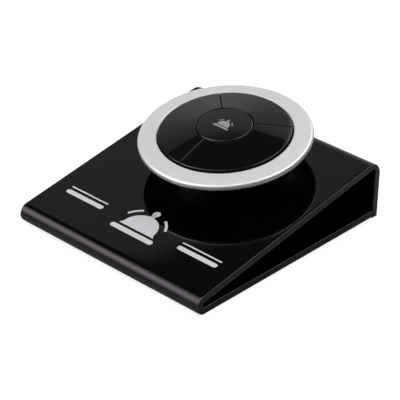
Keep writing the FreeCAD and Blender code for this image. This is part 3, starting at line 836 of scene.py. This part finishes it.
# ==================================================================== radio parts
# A code chip, a SAW resonator, a transistor, a can capacitor and small ceramic parts are soldered on
# the board's top, and a bent copper wire behind them is the aerial.
passive_length = 2.0
passive_width = 1.25
passive_height = 0.6
passive_cap = 0.4
passive_step = 0.02               # how far the body lies inside its end caps
passive_lift = 0.03               # air between a body and the board
passive_spots = [(-3.6, 4.6), (-3.6, 6.6), (-12.6, 5.2), (-12.6, 7.2),
                 (0.2, 12.6), (3.2, 9.6), (-3.8, 12.6)]
capacitor_foot = 0.62             # height of the black foot of the can
capacitor_top = 3.38              # height from which the can's top is marked
capacitor_mark = 0.9              # place of the mark's edge, from the can's middle


def epoxy(node, leads_beyond, axis):
    """Moulded epoxy package; what lies beyond a distance from its middle is tinned lead."""
    f = Finish(node + "_epoxy")
    middle = middle_of(node)
    away = (seated_axes(f)[axis] - middle[axis]).size().over(leads_beyond)
    grit = f.noise(0.25, 2.0, 0.7)
    mould = f.mix(grit, rgb(0.010, 0.010, 0.011), rgb(0.028, 0.028, 0.030))
    return f.close(Base_Color=f.mix(away, mould, rgb(0.72, 0.71, 0.68)), Metallic=0.95 * away,
                   Roughness=0.45 + 0.15 * grit - 0.2 * away, Normal=f.bump(grit, 0.006))


finished("encoder_chip", epoxy("encoder_chip", leads_beyond=1.96, axis=1))
finished("rf_transistor", epoxy("rf_transistor", leads_beyond=0.66, axis=0))
finished("saw_resonator", pressed_steel("resonator_can", (0.56, 0.53, 0.44), rough=0.2))


def aluminium_can():
    """Drawn can with a dark mark on one side of its top, on a black foot."""
    f = Finish("capacitor_can")
    x, _, z = seated_axes(f)
    middle = middle_of("storage_capacitor")
    foot = 1 - z.over(board_top + capacitor_foot)
    mark = z.over(board_top + capacitor_top) * (x - middle.x).over(capacitor_mark)
    scuff = f.noise(0.5, 3.0, 0.7)
    can = f.mix(scuff, rgb(0.62, 0.62, 0.64), rgb(0.80, 0.80, 0.82))
    return f.close(Base_Color=f.mix(foot + mark, can, rgb(0.015, 0.015, 0.016)),
                   Metallic=(1 - foot) * (1 - mark), Roughness=0.25 + 0.15 * scuff + 0.25 * foot,
                   Normal=f.bump(scuff, 0.003))


smooth_copy("storage_capacitor", aluminium_can())


def copper_wire():
    """Bare wire, tarnished here and there."""
    f = Finish("aerial_copper")
    tarnish = f.noise(1.8, 3.0, 0.6)
    return f.close(Base_Color=f.mix(tarnish, rgb(0.50, 0.20, 0.09), rgb(0.80, 0.42, 0.24)), Metallic=1.0,
                   Roughness=0.22 + 0.2 * tarnish, Normal=f.bump(tarnish, 0.004))


smooth_copy("antenna_loop", copper_wire(), sharp=50.0)


def fired_ceramic():
    """Brown ceramic of the small parts."""
    f = Finish("fired_ceramic")
    speck = f.noise(0.2, 2.0, 0.7)
    return f.close(Base_Color=f.mix(speck, rgb(0.30, 0.21, 0.13), rgb(0.50, 0.40, 0.28)),
                   Roughness=0.5 + 0.1 * speck, Normal=f.bump(speck, 0.004))


passive_points = [Vector((x, y, board_top)) for x, y in passive_spots]
core = upright_block(0, 0, passive_length - 2 * passive_cap, passive_width - 2 * passive_step,
                     passive_lift, passive_height - passive_step, chamfer=0.05)
caps = bmesh.new()
for side in (-1, 1):
    add_block(caps, side * (passive_length - passive_cap) / 2, 0, passive_cap, passive_width,
              0.0, passive_height, chamfer=0.06)
tinned_ends = pressed_steel("tinned_ends", (0.66, 0.65, 0.62), rough=0.3)
set_out("ceramic_parts", as_object("passive_core", core), passive_points, fired_ceramic(),
        node="chip_passives")
set_out("ceramic_part_ends", as_object("passive_caps", caps), passive_points, tinned_ends)


# ==================================================================== board screws
# Four self-tapping screws of zinc-plated steel, with rolled threads and a cross slot in each head.
# Their heads stand on the board and hold it down on the low bosses under it.
board_screw_radius = 0.9
board_screw_length = 4.6
board_screw_head_radius = 1.7
board_screw_head_height = 1.1
thread_depth = 0.18
thread_rise = 0.62                # one turn of the thread
thread_start = 0.15               # plain shank under the head
cross_share = 0.3                 # width of the cross slot, as a share of the head's radius
cross_floor = 0.45                # height of its floor, as a share of the head's height
head_profile = ((0.0, 1.0), (0.55, 0.97), (0.85, 0.78), (1.0, 0.4), (1.0, 0.0))


def screw_form(radius, length, head_radius, head_height):
    """Self-tapping screw with its head above the XY plane and a rolled thread below it.

    head_profile holds shares of the head's radius and height, from its middle outwards.
    """
    steps = 20
    rows = [(head_radius * out, head_height * rise, False) for out, rise in head_profile]
    rows.append((radius - thread_depth, 0.0, False))
    per_turn = 8
    count = int((length - 1.2 * radius) / thread_rise * per_turn)
    rows += [(radius, -thread_start - thread_rise * k / per_turn, True) for k in range(count)]
    rows += [(radius * 0.5, -length + 0.35 * radius, False), (0.0, -length, False)]
    solid = bmesh.new()
    loops = []
    for size, height, threaded in rows:
        loop = []
        for j in range(steps):
            share = j / steps
            crest = abs(((height / thread_rise - share) % 1) * 2 - 1) if threaded else 1
            reach = size - thread_depth * (1 - crest ** 3)
            loop.append(solid.verts.new(around(reach, 2 * math.pi * share, height)))
        loops.append(loop)
    for here, there in zip(loops, loops[1:]):
        for face in band(here, there):
            solid.faces.new(face)
    bmesh.ops.remove_doubles(solid, verts=solid.verts, dist=0.001)
    bmesh.ops.dissolve_degenerate(solid, edges=solid.edges, dist=0.0005)
    cutter = bmesh.new()
    long = head_radius * 1.2
    thin = head_radius * cross_share
    for width, depth in ((long, thin), (thin, long)):
        add_block(cutter, 0, 0, width, depth, head_height * cross_floor, head_height + 1)
    return carved("screw_piece", solid, cutter)


zinc = pressed_steel("screw_zinc", (0.50, 0.50, 0.49), rough=0.3)
board_screw_circle = 19.98        # the two rear screws, round the button's axis
board_screw_angles = (62.0, 118.0)
board_screw_side = Vector((9.0, -1.2))


def polar(radius, degrees, height):
    """Point round the button's axis."""
    return Vector(around(radius, math.radians(degrees), height))


board_screw = screw_form(board_screw_radius, board_screw_length,
                         board_screw_head_radius, board_screw_head_height)
board_screw_points = [polar(board_screw_circle, angle, board_top) for angle in board_screw_angles]
board_screw_points += [Vector((side * board_screw_side.x, board_screw_side.y, board_top))
                       for side in (-1, 1)]
set_out("board_screw_set", board_screw, board_screw_points, zinc,
        turn=0.7, seed=4, node="board_screws")


# ==================================================================== key deck
# The frame that carries ring and keys: a black ABS disc with a raised rim, round holes over the
# switches, slots for the keys' hooks, bosses for the casing's screws and holes for the ring's pegs.
deck_grain = moulded("deck_grain", (0.008, 0.0075, 0.009), grain=0.3, depth=0.01, rough=0.5)
smooth_copy("key_deck", deck_grain)


# ==================================================================== silver ring
# A bezel of moulded ABS, sprayed with fine silver paint. It slopes gently outwards, has a chamfer
# round its mouth and a rounded outer edge. Four pegs hold it in the rim of the deck.
ring_inner_radius = 27.35
ring_outer_radius = 35.2
ring_base = 12.7
ring_outer_height = 14.5
ring_inner_height = 15.4
ring_wall = 1.5
ring_edge_radius = 1.2
ring_chamfer = 0.35
ring_break = 0.12                 # rounding of the chamfer's two edges
ring_side_shade_and_gloss = (0.65, 0.1)     # the outer side's painted shade and smoother paint end between these depths
ring_lip_round = 0.1              # of the lower edge of its mouth
ring_foot_round = 0.12            # of the lower edge outside
ring_peg_radius = 0.8
ring_peg_round = 0.15
ring_peg_circle = 31.225
ring_peg_clearance = 0.1
ring_peg_angles = (45.0, 135.0, 225.0, 315.0)
turn_steps = 240


def add_loose(verts, faces, more, x=0.0, y=0.0):
    """Adds another closed shape to a mesh, moved in the plane of the plate."""
    new_verts, new_faces = more
    faces += [[i + len(verts) for i in face] for face in new_faces]
    verts += [(a + x, b + y, c) for a, b, c in new_verts]


def ring_top(radius):
    """Height of the ring's sloping face."""
    share = (radius - ring_inner_radius) / (ring_outer_radius - ring_inner_radius)
    return ring_inner_height + share * (ring_outer_height - ring_inner_height)


def silver_paint():
    """Sprayed silver: small bright and dull flakes under satin lacquer, smoother and painted in shade on
    the outer side.
    """
    f = Finish("silver_paint")
    tint, lean, _ = f.axes(f.cells(0.22, output="Color"))
    mottle = f.noise(0.6, 3.0, 0.65)
    cloud = f.noise(16.0, 2.0)
    shade = 0.35 * tint + 0.4 * mottle + 0.25 * cloud
    _, _, z = seated_axes(f)
    low, high = (ring_outer_height - depth for depth in ring_side_shade_and_gloss)
    # Painted shade: the outer side below the rounded edge gets a darker colour; its paint is also smoother
    # there.
    side = 1 - z.between(low, high)
    color = f.mix(shade.between(0.15, 0.9), rgb(0.70, 0.70, 0.715), rgb(0.82, 0.82, 0.835))
    color = f.mix(side, color, rgb(0.42, 0.42, 0.43))
    return f.close(Base_Color=color, Roughness=0.36 + 0.12 * lean - 0.16 * side, Metallic=0.55,
                   Normal=f.bump(tint * 0.6 + mottle, 0.006), Coat_Weight=0.1, Coat_Roughness=0.25)


ring_skirt = ring_outer_radius - ring_wall
ring_outline = rounded([
    (ring_inner_radius, ring_inner_height - ring_wall),
    (ring_skirt, ring_top(ring_skirt) - ring_wall),
    (ring_skirt, ring_base),
    (ring_outer_radius, ring_base),
    (ring_outer_radius, ring_outer_height),
    (ring_inner_radius + ring_chamfer, ring_top(ring_inner_radius + ring_chamfer)),
    (ring_inner_radius, ring_inner_height - ring_chamfer),
], [ring_lip_round, 0, 0, ring_foot_round, ring_edge_radius, ring_break, ring_break])
ring_verts, ring_faces = lathe(with_supports(ring_outline, closeness=0.25, longest=0.9), turn_steps)
peg_outline = rounded(pin_outline(ring_peg_radius, ring_base + ring_peg_clearance,
                                  ring_top(ring_peg_circle) - ring_wall / 2),
                      [0, ring_peg_round, 0, 0], steps=3)
for peg_angle in ring_peg_angles:
    peg = polar(ring_peg_circle, peg_angle, 0)
    add_loose(ring_verts, ring_faces, lathe(peg_outline, steps=24), peg.x, peg.y)
ring = shown("silver_ring", ring_verts, ring_faces, silver_paint(), "base", sharp=50.0, transform=seat)
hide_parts("ring_bezel")


# ==================================================================== keys
# Three polished black caps share one cone and leave a narrow seam between them. Each is a hollow
# ABS moulding with a stem over its switch and hooks that snap through the deck.
key_gap = 0.35
key_outer_radius = 26.85
key_outer_height = 16.1
key_rise = 2.8
key_wall = 1.5
key_skirt = 1.2
key_edge = 0.35
key_foot_break = 0.12
skirt_bottom = 13.1
deck_bottom = 11.2
centre_radius = 11.3
key_inner_radius = centre_radius + key_gap
stem_radius = 1.8
stem_round = 0.1
hook_width = 3.0
hook_thickness = 1.2
hook_reach = 0.6
hook_length = 1.6
hook_play = 0.05
hook_circle = 22.65
seam_angles = (42.0, 136.0, 270.0)
hook_angles = {"top_key": (62.0, 118.0), "left_key": (185.0, 240.0), "right_key": (-5.0, -60.0)}
flank_normal = 0.45               # a face whose normal rises less than this is a cap's side
key_black = rgb(0.0004, 0.0004, 0.0006)
key_black_light = rgb(0.0008, 0.0008, 0.001)


def key_cone(radius):
    """Height of the cone that the three caps share."""
    share = (radius - key_inner_radius) / (key_outer_radius - key_inner_radius)
    return key_outer_height + key_rise * (1 - share)


def sector_point(start, end, depth, across, out):
    """Plan position on a sector whose sides are moved in by depth.

    across goes from 0 at the first seam to 1 at the last, out from 0 at the inner arc to 1.
    """
    inner = key_inner_radius + depth
    radius = inner + out * (key_outer_radius - depth - inner)
    side = math.asin((key_gap / 2 + depth) / radius)
    angle = start + side + across * (end - start - 2 * side)
    return radius, angle


def sector_rim(columns, rows):
    """(across, out) once round the sector's edge."""
    rim = [(k / columns, 1.0) for k in range(columns)]
    rim += [(1.0, 1 - k / rows) for k in range(rows)]
    rim += [(1 - k / columns, 0.0) for k in range(columns)]
    rim += [(0.0, k / rows) for k in range(rows)]
    return rim


def key_stem(top):
    """Round stem over a switch, closed at both ends."""
    outline = rounded(pin_outline(stem_radius, plunger_top_height, top), [0, stem_round, 0, 0], steps=2)
    return lathe(outline, steps=32)


def key_hook(radius, degrees, top):
    """Springy leg with a barb, as a closed prism."""
    tip = deck_bottom - hook_length
    outer = radius + hook_thickness
    section = [(radius, tip), (outer, tip), (outer + hook_reach, deck_bottom - hook_play),
               (outer, deck_bottom - hook_play), (outer, top), (radius, top)]
    turn = Matrix.Rotation(math.radians(degrees), 4, "Z")
    verts = [tuple(turn @ Vector((r, side * hook_width / 2, h))) for side in (-1, 1) for r, h in section]
    count = len(section)
    near, far = range(count), range(count, 2 * count)
    return verts, band(near, far) + [list(reversed(near)), list(far)]


def sector_cap(start, end):
    """Closed hollow cap between two seams, with a rounded edge."""
    columns = max(24, round(math.degrees(end - start) / 1.5))
    rows = 12
    verts = []
    faces = []

    def loop(depth, height):
        """Vertices once round the edge; height is a function of the radius."""
        first = len(verts)
        for across, out in sector_rim(columns, rows):
            radius, angle = sector_point(start, end, depth, across, out)
            verts.append(around(radius, angle, height(radius)))
        return range(first, len(verts))

    def fill(depth, height, rim):
        """Grid over the sector, sewn to the loop round it."""
        grid = {(round(out * rows), round(across * columns)): v
                for (across, out), v in zip(sector_rim(columns, rows), rim)}
        for i in range(1, rows):
            for k in range(1, columns):
                radius, angle = sector_point(start, end, depth, k / columns, i / rows)
                grid[i, k] = len(verts)
                verts.append(around(radius, angle, height(radius)))
        faces.extend([grid[i, k], grid[i, k + 1], grid[i + 1, k + 1], grid[i + 1, k]]
                     for i in range(rows) for k in range(columns))

    steps = 6
    loops = []
    for k in range(steps + 1):
        t = math.pi / 2 * k / steps
        drop = key_edge * (1 - math.cos(t))
        loops.append(loop(key_edge * (1 - math.sin(t)), lambda r, drop=drop: key_cone(r) - drop))
    loops.append(loop(0.0, lambda r: skirt_bottom + key_foot_break))
    loops.append(loop(key_foot_break, lambda r: skirt_bottom))
    loops.append(loop(key_skirt, lambda r: skirt_bottom))
    loops.append(loop(key_skirt, lambda r: key_cone(r) - key_wall))
    for here, there in zip(loops, loops[1:]):
        faces.extend(band(here, there))
    fill(key_edge, key_cone, loops[0])
    fill(key_skirt, lambda r: key_cone(r) - key_wall, loops[-1])
    return verts, faces


def key_polish():
    """Polished black ABS: almost a mirror, with faint waves from the mould and light handling."""
    f = Finish("key_polish")
    smear = f.noise(5.0, 3.0, 0.65).between(0.5, 0.8)
    return f.close(Base_Color=f.mix(f.noise(20.0, 1.0), key_black, key_black_light),
                   Roughness=0.03 + 0.05 * smear, IOR=1.5,
                   Normal=f.bump(f.noise(7.0, 1.0), 0.008), Specular_Tint=rgb(1.0, 0.92, 1.0))


def key_flank_grain():
    """The caps' sides keep the fine matt grain of the mould."""
    f = Finish("key_flank")
    grain = f.noise(0.2, 2.0)
    return f.close(Base_Color=f.mix(grain, key_black, key_black_light),
                   Roughness=0.35 + 0.2 * grain, Specular_IOR_Level=0.12)


polish = key_polish()
flank = key_flank_grain()
across_plate = seat.to_3x3().inverted()
seams = [math.radians(angle) for angle in (*seam_angles, seam_angles[0] + 360)]
for (name, angles), start, end in zip(hook_angles.items(), seams, seams[1:]):
    key_verts, key_faces = sector_cap(start, end)
    stem = switch_spots[name]
    add_loose(key_verts, key_faces, key_stem(key_cone(stem.xy.length) - key_wall / 2), stem.x, stem.y)
    for angle in angles:
        add_loose(key_verts, key_faces,
                  key_hook(hook_circle, angle, key_cone(hook_circle + hook_thickness) - key_wall / 2))
    key = shown(name + "_cap", key_verts, key_faces, polish, name, sharp=40.0, transform=seat)
    key.data.materials.append(flank)
    for face in key.data.polygons:
        face.material_index = int((across_plate @ face.normal).z < flank_normal)
    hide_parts(name)


# ==================================================================== centre button
# A satin black cap, slightly domed, its rim level with the keys round it. It has a stem of its own
# and three snap hooks.
centre_height = 19.25
centre_crown = 0.35
centre_edge = 0.5
centre_wall = 1.4
centre_fillet = 0.3               # of the hollow, under the crown
centre_foot_rounds = (0.1, 0.15)  # of the skirt's lower edge, inside and outside
centre_hook_circle = 8.0
centre_hooks = (90.0, 196.0, -16.0)
crown_radius = (centre_radius ** 2 + centre_crown ** 2) / (2 * centre_crown)
crown_steps = 14


def crown(radius):
    """Height of the dome."""
    return centre_height - crown_radius + math.sqrt(crown_radius ** 2 - radius ** 2)


crown_rim = centre_radius - centre_edge
rim_height = centre_height - centre_crown
centre_outline = rounded([
    (0, rim_height - centre_wall),
    (centre_radius - centre_wall, rim_height - centre_wall),
    (centre_radius - centre_wall, skirt_bottom),
    (centre_radius, skirt_bottom),
], [0, centre_fillet, *centre_foot_rounds], steps=8)
centre_outline += turn_points(Vector((crown_rim, crown(crown_rim) - centre_edge)), centre_edge, 0.0,
                              math.pi / 2 - math.asin(crown_rim / crown_radius), steps=10)
crown_circles = [crown_rim * (1 - k / crown_steps) for k in range(1, crown_steps + 1)]
centre_outline += [Vector((radius, crown(radius))) for radius in crown_circles]
centre_verts, centre_faces = lathe(centre_outline, turn_steps)
add_loose(centre_verts, centre_faces, key_stem(rim_height - centre_wall / 2))
for hook_angle in centre_hooks:
    add_loose(centre_verts, centre_faces,
              key_hook(centre_hook_circle, hook_angle, rim_height - centre_wall / 2))


def satin():
    """Satin black ABS with a very fine grain and faint clouds."""
    f = Finish("satin_black")
    grain = f.noise(0.16, 2.0, 0.6)
    cloud = f.noise(6.0, 3.0)
    color = f.mix(cloud, rgb(0.0012, 0.0012, 0.0014), rgb(0.003, 0.0028, 0.003))
    return f.close(Base_Color=color, Roughness=0.09 + 0.04 * grain + 0.04 * cloud, IOR=1.52,
                   Normal=f.bump(grain, 0.003), Specular_Tint=rgb(1.0, 0.94, 1.0))


centre = shown("centre_cap", centre_verts, centre_faces, satin(), "centre_button",
               sharp=40.0, transform=seat)
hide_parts("centre_button")


# ==================================================================== housing screws
# Three longer self-tapping screws, driven from below through the floor's posts into the deck's
# bosses, hold the casing shut. The foam pads hide their heads.
housing_screw_radius = 1.05
housing_screw_length = 8.0
housing_screw_head_radius = 1.9
housing_screw_head_height = 1.3
housing_screw_bearing = 2.3       # height of the heads' bearing face
housing_screw_circle = 19.912
housing_screw_angles = (30.0, 150.0, 270.0)

housing_screw = screw_form(housing_screw_radius, housing_screw_length,
                           housing_screw_head_radius, housing_screw_head_height)
housing_screw.data.transform(Matrix.Rotation(math.pi, 4, "X"))
set_out("housing_screw_set", housing_screw,
        [polar(housing_screw_circle, angle, housing_screw_bearing) for angle in housing_screw_angles],
        zinc, turn=0.7, seed=9, node="housing_screws")


# ==================================================================== print
# A film of pale grey ink on the plate below the button: a plain desk bell between two pairs of rules.
# A smaller bell of the same kind is printed on the centre button.
ink_film = 0.03
ink_seat = 0.002                  # lower face of the ink above the acrylic
bell_width = 22.0
bell_foot = -57.5                 # lower edge of the large bell, down the slope from the button's axis
small_bell_width = 7.6
small_bell_foot = -0.36 * small_bell_width
small_bell_seat = 0.005           # lower face of its ink above the crown
small_bell_film = 0.045
rule_inner = 20.0
rule_outer = 40.0
rule_rows = ((-51.6, 2.2), (-48.6, 0.7))     # (place, width) of the thick and the thin rule


def arc_band(centre, radius, width, start, end):
    """Outline of a bow of constant width."""
    return (turn_points(centre, radius + width / 2, start, end, steps=12)
            + turn_points(centre, radius - width / 2, end, start, steps=12))


def soft_bar(left, right, low, high):
    """Outline of a bar with round ends."""
    radius = (high - low) / 2
    middle = (high + low) / 2
    return (turn_points(Vector((right - radius, middle)), radius, -math.pi / 2, math.pi / 2, steps=8)
            + turn_points(Vector((left + radius, middle)), radius, math.pi / 2, 1.5 * math.pi, steps=8))


def bell_outlines():
    """Desk bell one unit wide, standing on y = 0: foot, dome, knob and two bows of sound."""
    foot = soft_bar(-0.5, 0.5, 0.0, 0.11)
    middle = Vector((0, 0.24))
    dome = [Vector((0.41, 0.17)), *turn_points(middle, 0.36, 0.0, math.pi, 32), Vector((-0.41, 0.17))]
    neck = soft_bar(-0.05, 0.05, 0.58, 0.69)
    knob = turn_points(Vector((0, 0.71)), 0.075, 0.0, 2 * math.pi * 23 / 24, 23)
    bows = [arc_band(middle, 0.49, 0.05, math.radians(90 + side * 32), math.radians(90 + side * 66))
            for side in (-1, 1)]
    return [foot, dome, neck, knob] + bows


def film(outlines, scale, x, y, height, thickness):
    """Flat closed shapes of ink. height is a function of the place."""
    verts = []
    faces = []
    for outline in outlines:
        flat = [(x + p.x * scale, y + p.y * scale) for p in outline]
        first, count = len(verts), len(flat)
        verts += [(a, b, height(a, b) + lift) for lift in (0.0, thickness) for a, b in flat]
        under, over = range(first, first + count), range(first + count, first + 2 * count)
        faces += band(under, over) + [list(reversed(under)), list(over)]
    return verts, faces


def pale_ink(name, dull, bright):
    """Screen-printed ink, slightly uneven."""
    f = Finish(name)
    specks = f.noise(0.25, 3.0, 0.7)
    return f.close(Base_Color=f.mix(specks, rgb(*dull), rgb(*bright)), Roughness=0.5,
                   Normal=f.bump(specks, 0.004))


rules = [soft_bar(left, right, place - width / 2, place + width / 2)
         for place, width in rule_rows
         for left, right in ((-rule_outer, -rule_inner), (rule_inner, rule_outer))]
print_verts, print_faces = film(bell_outlines(), bell_width, 0, bell_foot, lambda a, b: ink_seat, ink_film)
add_loose(print_verts, print_faces, film(rules, 1.0, 0, 0, lambda a, b: ink_seat, ink_film))
plate_ink = pale_ink("plate_ink", (0.46, 0.46, 0.48), (0.60, 0.60, 0.62))
plate_print = shown("plate_print", print_verts, print_faces, plate_ink, "base", sharp=30.0, transform=seat)

small_bell = film(bell_outlines(), small_bell_width, 0, small_bell_foot,
                  lambda a, b: crown(math.hypot(a, b)) + small_bell_seat, small_bell_film)
button_ink = pale_ink("button_ink", (0.20, 0.20, 0.21), (0.30, 0.30, 0.31))
button_print = shown("button_print", *small_bell, button_ink, "centre_button", sharp=30.0, transform=seat)


# ==================================================================== studio
# A grey table-top in a dark room, lit from below where the camera looks at it. Pale walls behind it end
# half way up, a window at the front left draws the grey band along the front fold, and five soft lamps
# hang over and round the table. Angles are in degrees, counted from east.
room_glow = 0.03
ceiling_glow = 0.05
walls_top = Vector((-0.326, 0.190, 0.976))    # slant of their upper edge (east, north), and its height
wall_sides = ((120.0, 0.85), (180.0, 0.3))    # (azimuth, strength)
window = (240.0, 25.0, 2.9, 33.0)             # (azimuth, elevation, strength, spread)
lamps = ((90.0, 38.0, 1.9, 26.0), (225.0, 38.0, 1.9, 26.0), (50.0, 64.0, 4.0, 26.0),
         (225.0, 68.0, 3.6, 22.0), (0.0, 88.0, 0.5, 24.0))
table_half = 4.0                              # metres
table_grey = 0.45
table_light = 0.75

walls = Shader(bpy.data.worlds.new("studio_walls"))
east, north, up = walls.axes(walls.node("ShaderNodeTexCoord")("Generated"))
level = (east * east + north * north + 0.0001) ** 0.5


def soft_lamp(azimuth, elevation, strength, spread):
    """Round glow that fades from its middle to its rim."""
    side, rise = math.radians(azimuth), math.radians(elevation)
    x, y, z = math.cos(side) * math.cos(rise), math.sin(side) * math.cos(rise), math.sin(rise)
    return strength * (x * east + y * north + z * up).between(math.cos(math.radians(spread)), 1.0)


def wall_side(azimuth, strength):
    """Stretch of wall, brighter near the table."""
    x, y, _ = around(1.0, math.radians(azimuth), 0.0)
    return strength * (0.75 - 0.60 * up) * ((x * east + y * north) / level).between(0.5, 1.0)


above = (up + walls_top.x * east + walls_top.y * north - walls_top.z).between(-0.003, 0.003)
stretches = [wall_side(*side) for side in wall_sides]
glow = room_glow + ceiling_glow * above + (stretches[0] + stretches[1]) * (1 - above)
for lamp in (window, *lamps):
    glow = glow + soft_lamp(*lamp)
shine = walls.node("ShaderNodeBackground", None, {"Color": rgb(1, 1, 1), "Strength": glow})("Background")
walls.node("ShaderNodeOutputWorld", None, {"Surface": shine})
bpy.context.scene.world = walls.owner

table_mesh = bpy.data.meshes.new("table_top")
table_corners = [(x * table_half, y * table_half, 0) for x, y in ((-1, -1), (1, -1), (1, 1), (-1, 1))]
table_mesh.from_pydata(table_corners, [], [(0, 1, 2, 3)])
table = in_scene("table_top", table_mesh)
paper = Finish("white_paper")
seen = paper.node("ShaderNodeLightPath")("Is Camera Ray")
backlight = paper.mix(seen, rgb(0, 0, 0), rgb(table_light, table_light, table_light))
table_mesh.materials.append(paper.close(
    Base_Color=rgb(table_grey, table_grey, table_grey), Roughness=0.9, Specular_IOR_Level=0.1,
    Emission_Color=backlight, Emission_Strength=1.0))

bpy.context.scene.view_settings.view_transform = "Standard"
